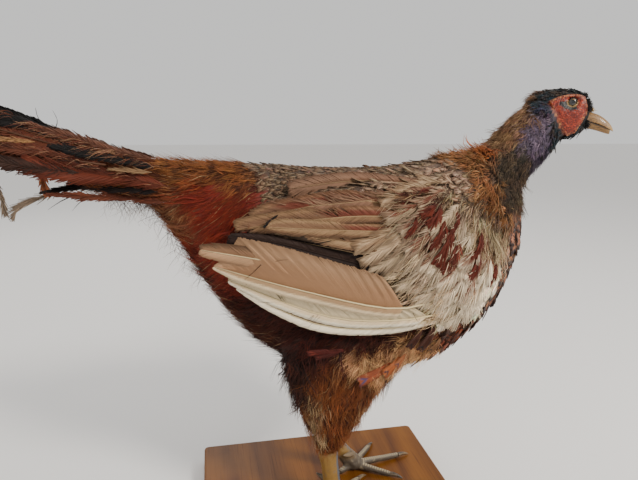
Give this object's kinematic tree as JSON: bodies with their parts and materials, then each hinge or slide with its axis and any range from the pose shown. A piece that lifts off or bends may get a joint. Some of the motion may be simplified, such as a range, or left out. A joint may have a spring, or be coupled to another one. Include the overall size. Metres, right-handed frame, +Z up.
{
  "type": "taxidermy pheasant",
  "caption": "Mounted cock pheasant, life size, an old faded specimen standing on a varnished wooden board with its head turned to its right.",
  "frame": {"origin": "centre of the board's underside", "axes": "+X towards the bird's head, +Y towards its left side, +Z up"},
  "size_m": [0.822, 0.18, 0.4691],
  "materials": {
    "body_plumage": "matt feathers, dark rufous with black centres",
    "neck_plumage": "silky feathers, black-green to purple",
    "wing_plumage": "matt feathers, buff-grey and chestnut",
    "quills": "flight feathers, tan with cream shafts",
    "tail_plumage": "frayed feathers, rufous with black bars",
    "thigh_plumage": "hair-like feathers, rufous brown",
    "face_skin": "dried, warty red skin",
    "eye_glass": "polished, dark",
    "horn": "horn, satin",
    "leg_skin": "dried scaly skin, grey to yellow-olive",
    "claws": "horn, dark",
    "varnished_board": "warm brown varnish"
  },
  "bodies": {
    "root": {"base_board": "varnished_board", "trunk": "body_plumage", "neck": "neck_plumage", "head": "neck_plumage", "bill_upper": "horn", "bill_lower": "horn", "tail_coverts": "body_plumage", "eye_right": "eye_glass", "face_right": "face_skin", "wing_right": "wing_plumage", "primaries_right": "quills", "tail_feather_right_1": "tail_plumage", "tail_feather_right_2": "tail_plumage", "tail_feather_right_3": "tail_plumage", "tail_feather_right_4": "tail_plumage", "tail_feather_right_5": "tail_plumage", "eye_left": "eye_glass", "face_left": "face_skin", "wing_left": "wing_plumage", "primaries_left": "quills", "tail_feather_left_1": "tail_plumage", "tail_feather_left_2": "tail_plumage", "tail_feather_left_3": "tail_plumage", "tail_feather_left_4": "tail_plumage", "tail_feather_left_5": "tail_plumage", "thigh_right": "thigh_plumage", "tarsus_right": "leg_skin", "foot_right": "leg_skin", "spur_right": "claws", "claw_right_inner": "claws", "claw_right_middle": "claws", "claw_right_outer": "claws", "claw_right_hind": "claws", "thigh_left": "thigh_plumage", "tarsus_left": "leg_skin", "foot_left": "leg_skin", "spur_left": "claws", "claw_left_inner": "claws", "claw_left_middle": "claws", "claw_left_outer": "claws", "claw_left_hind": "claws"}
  },
  "joints": []
}
